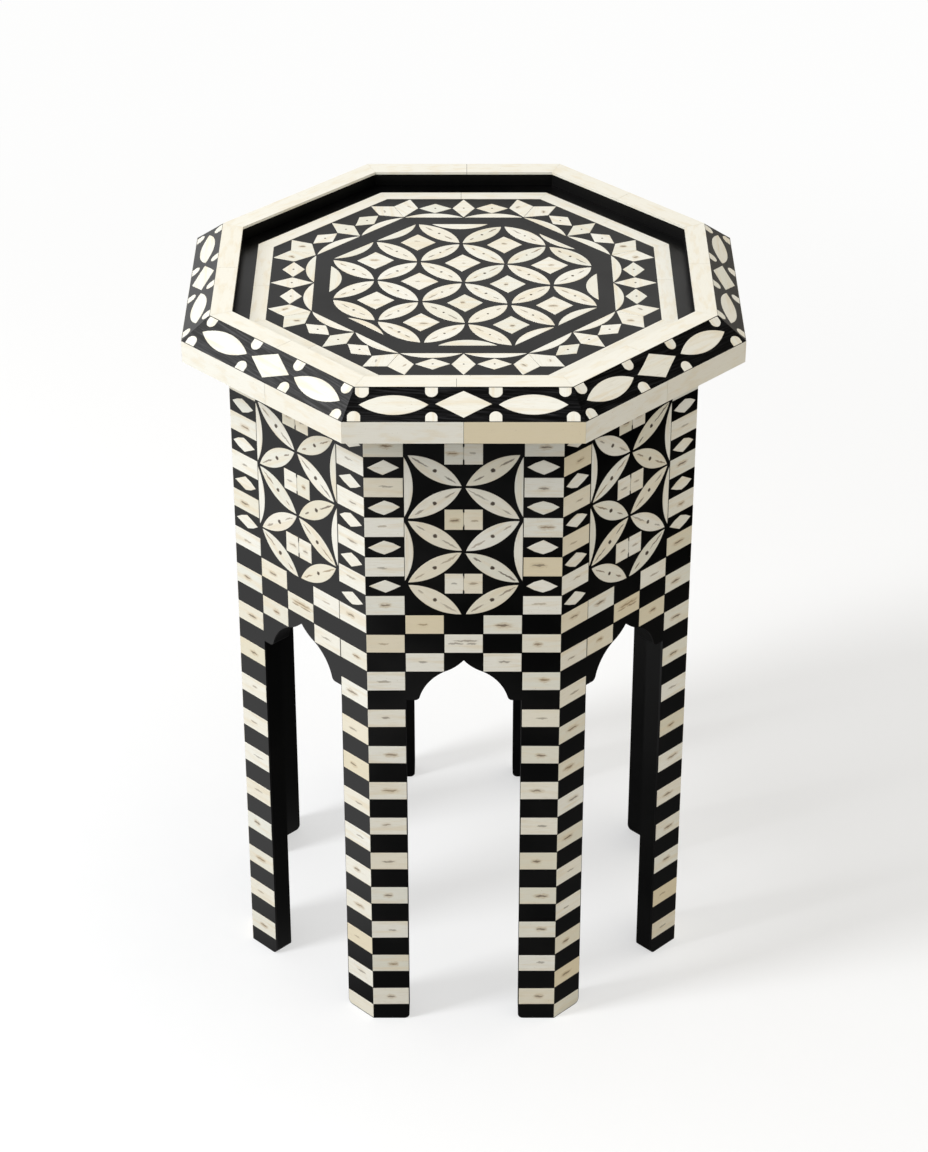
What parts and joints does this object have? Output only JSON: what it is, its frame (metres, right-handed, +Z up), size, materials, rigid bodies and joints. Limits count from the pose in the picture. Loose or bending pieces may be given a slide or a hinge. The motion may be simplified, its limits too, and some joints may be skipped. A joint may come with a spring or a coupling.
{
  "type": "octagonal inlaid side table",
  "caption": "Octagonal side table with arched open legs, a sunk tray top inside a bevelled rim, and bone tiles laid in black resin.",
  "frame": {"origin": "centre of the table on the floor, under the middle of the tray", "axes": "+Z up, -Y out of the front side that faces the camera, +X to the right of that side"},
  "size_m": [0.4, 0.4, 0.5622],
  "materials": {
    "black_boards": "satin black resin",
    "bone_tiles": "polished bone",
    "bone_strips": "polished bone",
    "bare_wood": "raw"
  },
  "bodies": {
    "root": {"front_side_board": "black_boards", "front_side_inlay": "bone_tiles", "front_corner_block": "bare_wood", "front_rim_rail": "black_boards", "front_right_side_board": "black_boards", "front_right_side_inlay": "bone_tiles", "front_right_corner_block": "bare_wood", "front_right_rim_rail": "black_boards", "right_side_board": "black_boards", "right_side_inlay": "bone_tiles", "right_corner_block": "bare_wood", "right_rim_rail": "black_boards", "back_right_side_board": "black_boards", "back_right_side_inlay": "bone_tiles", "back_right_corner_block": "bare_wood", "back_right_rim_rail": "black_boards", "back_side_board": "black_boards", "back_side_inlay": "bone_tiles", "back_corner_block": "bare_wood", "back_rim_rail": "black_boards", "back_left_side_board": "black_boards", "back_left_side_inlay": "bone_tiles", "back_left_corner_block": "bare_wood", "back_left_rim_rail": "black_boards", "left_side_board": "black_boards", "left_side_inlay": "bone_tiles", "left_corner_block": "bare_wood", "left_rim_rail": "black_boards", "front_left_side_board": "black_boards", "front_left_side_inlay": "bone_tiles", "front_left_corner_block": "bare_wood", "front_left_rim_rail": "black_boards", "lid_board": "black_boards", "edge_strips": "bone_strips", "rim_strips": "bone_strips", "bevel_inlay": "bone_tiles", "tray_frame_strips": "bone_strips", "tray_border_inlay": "bone_tiles", "tray_rosette_inlay": "bone_tiles"}
  },
  "joints": []
}
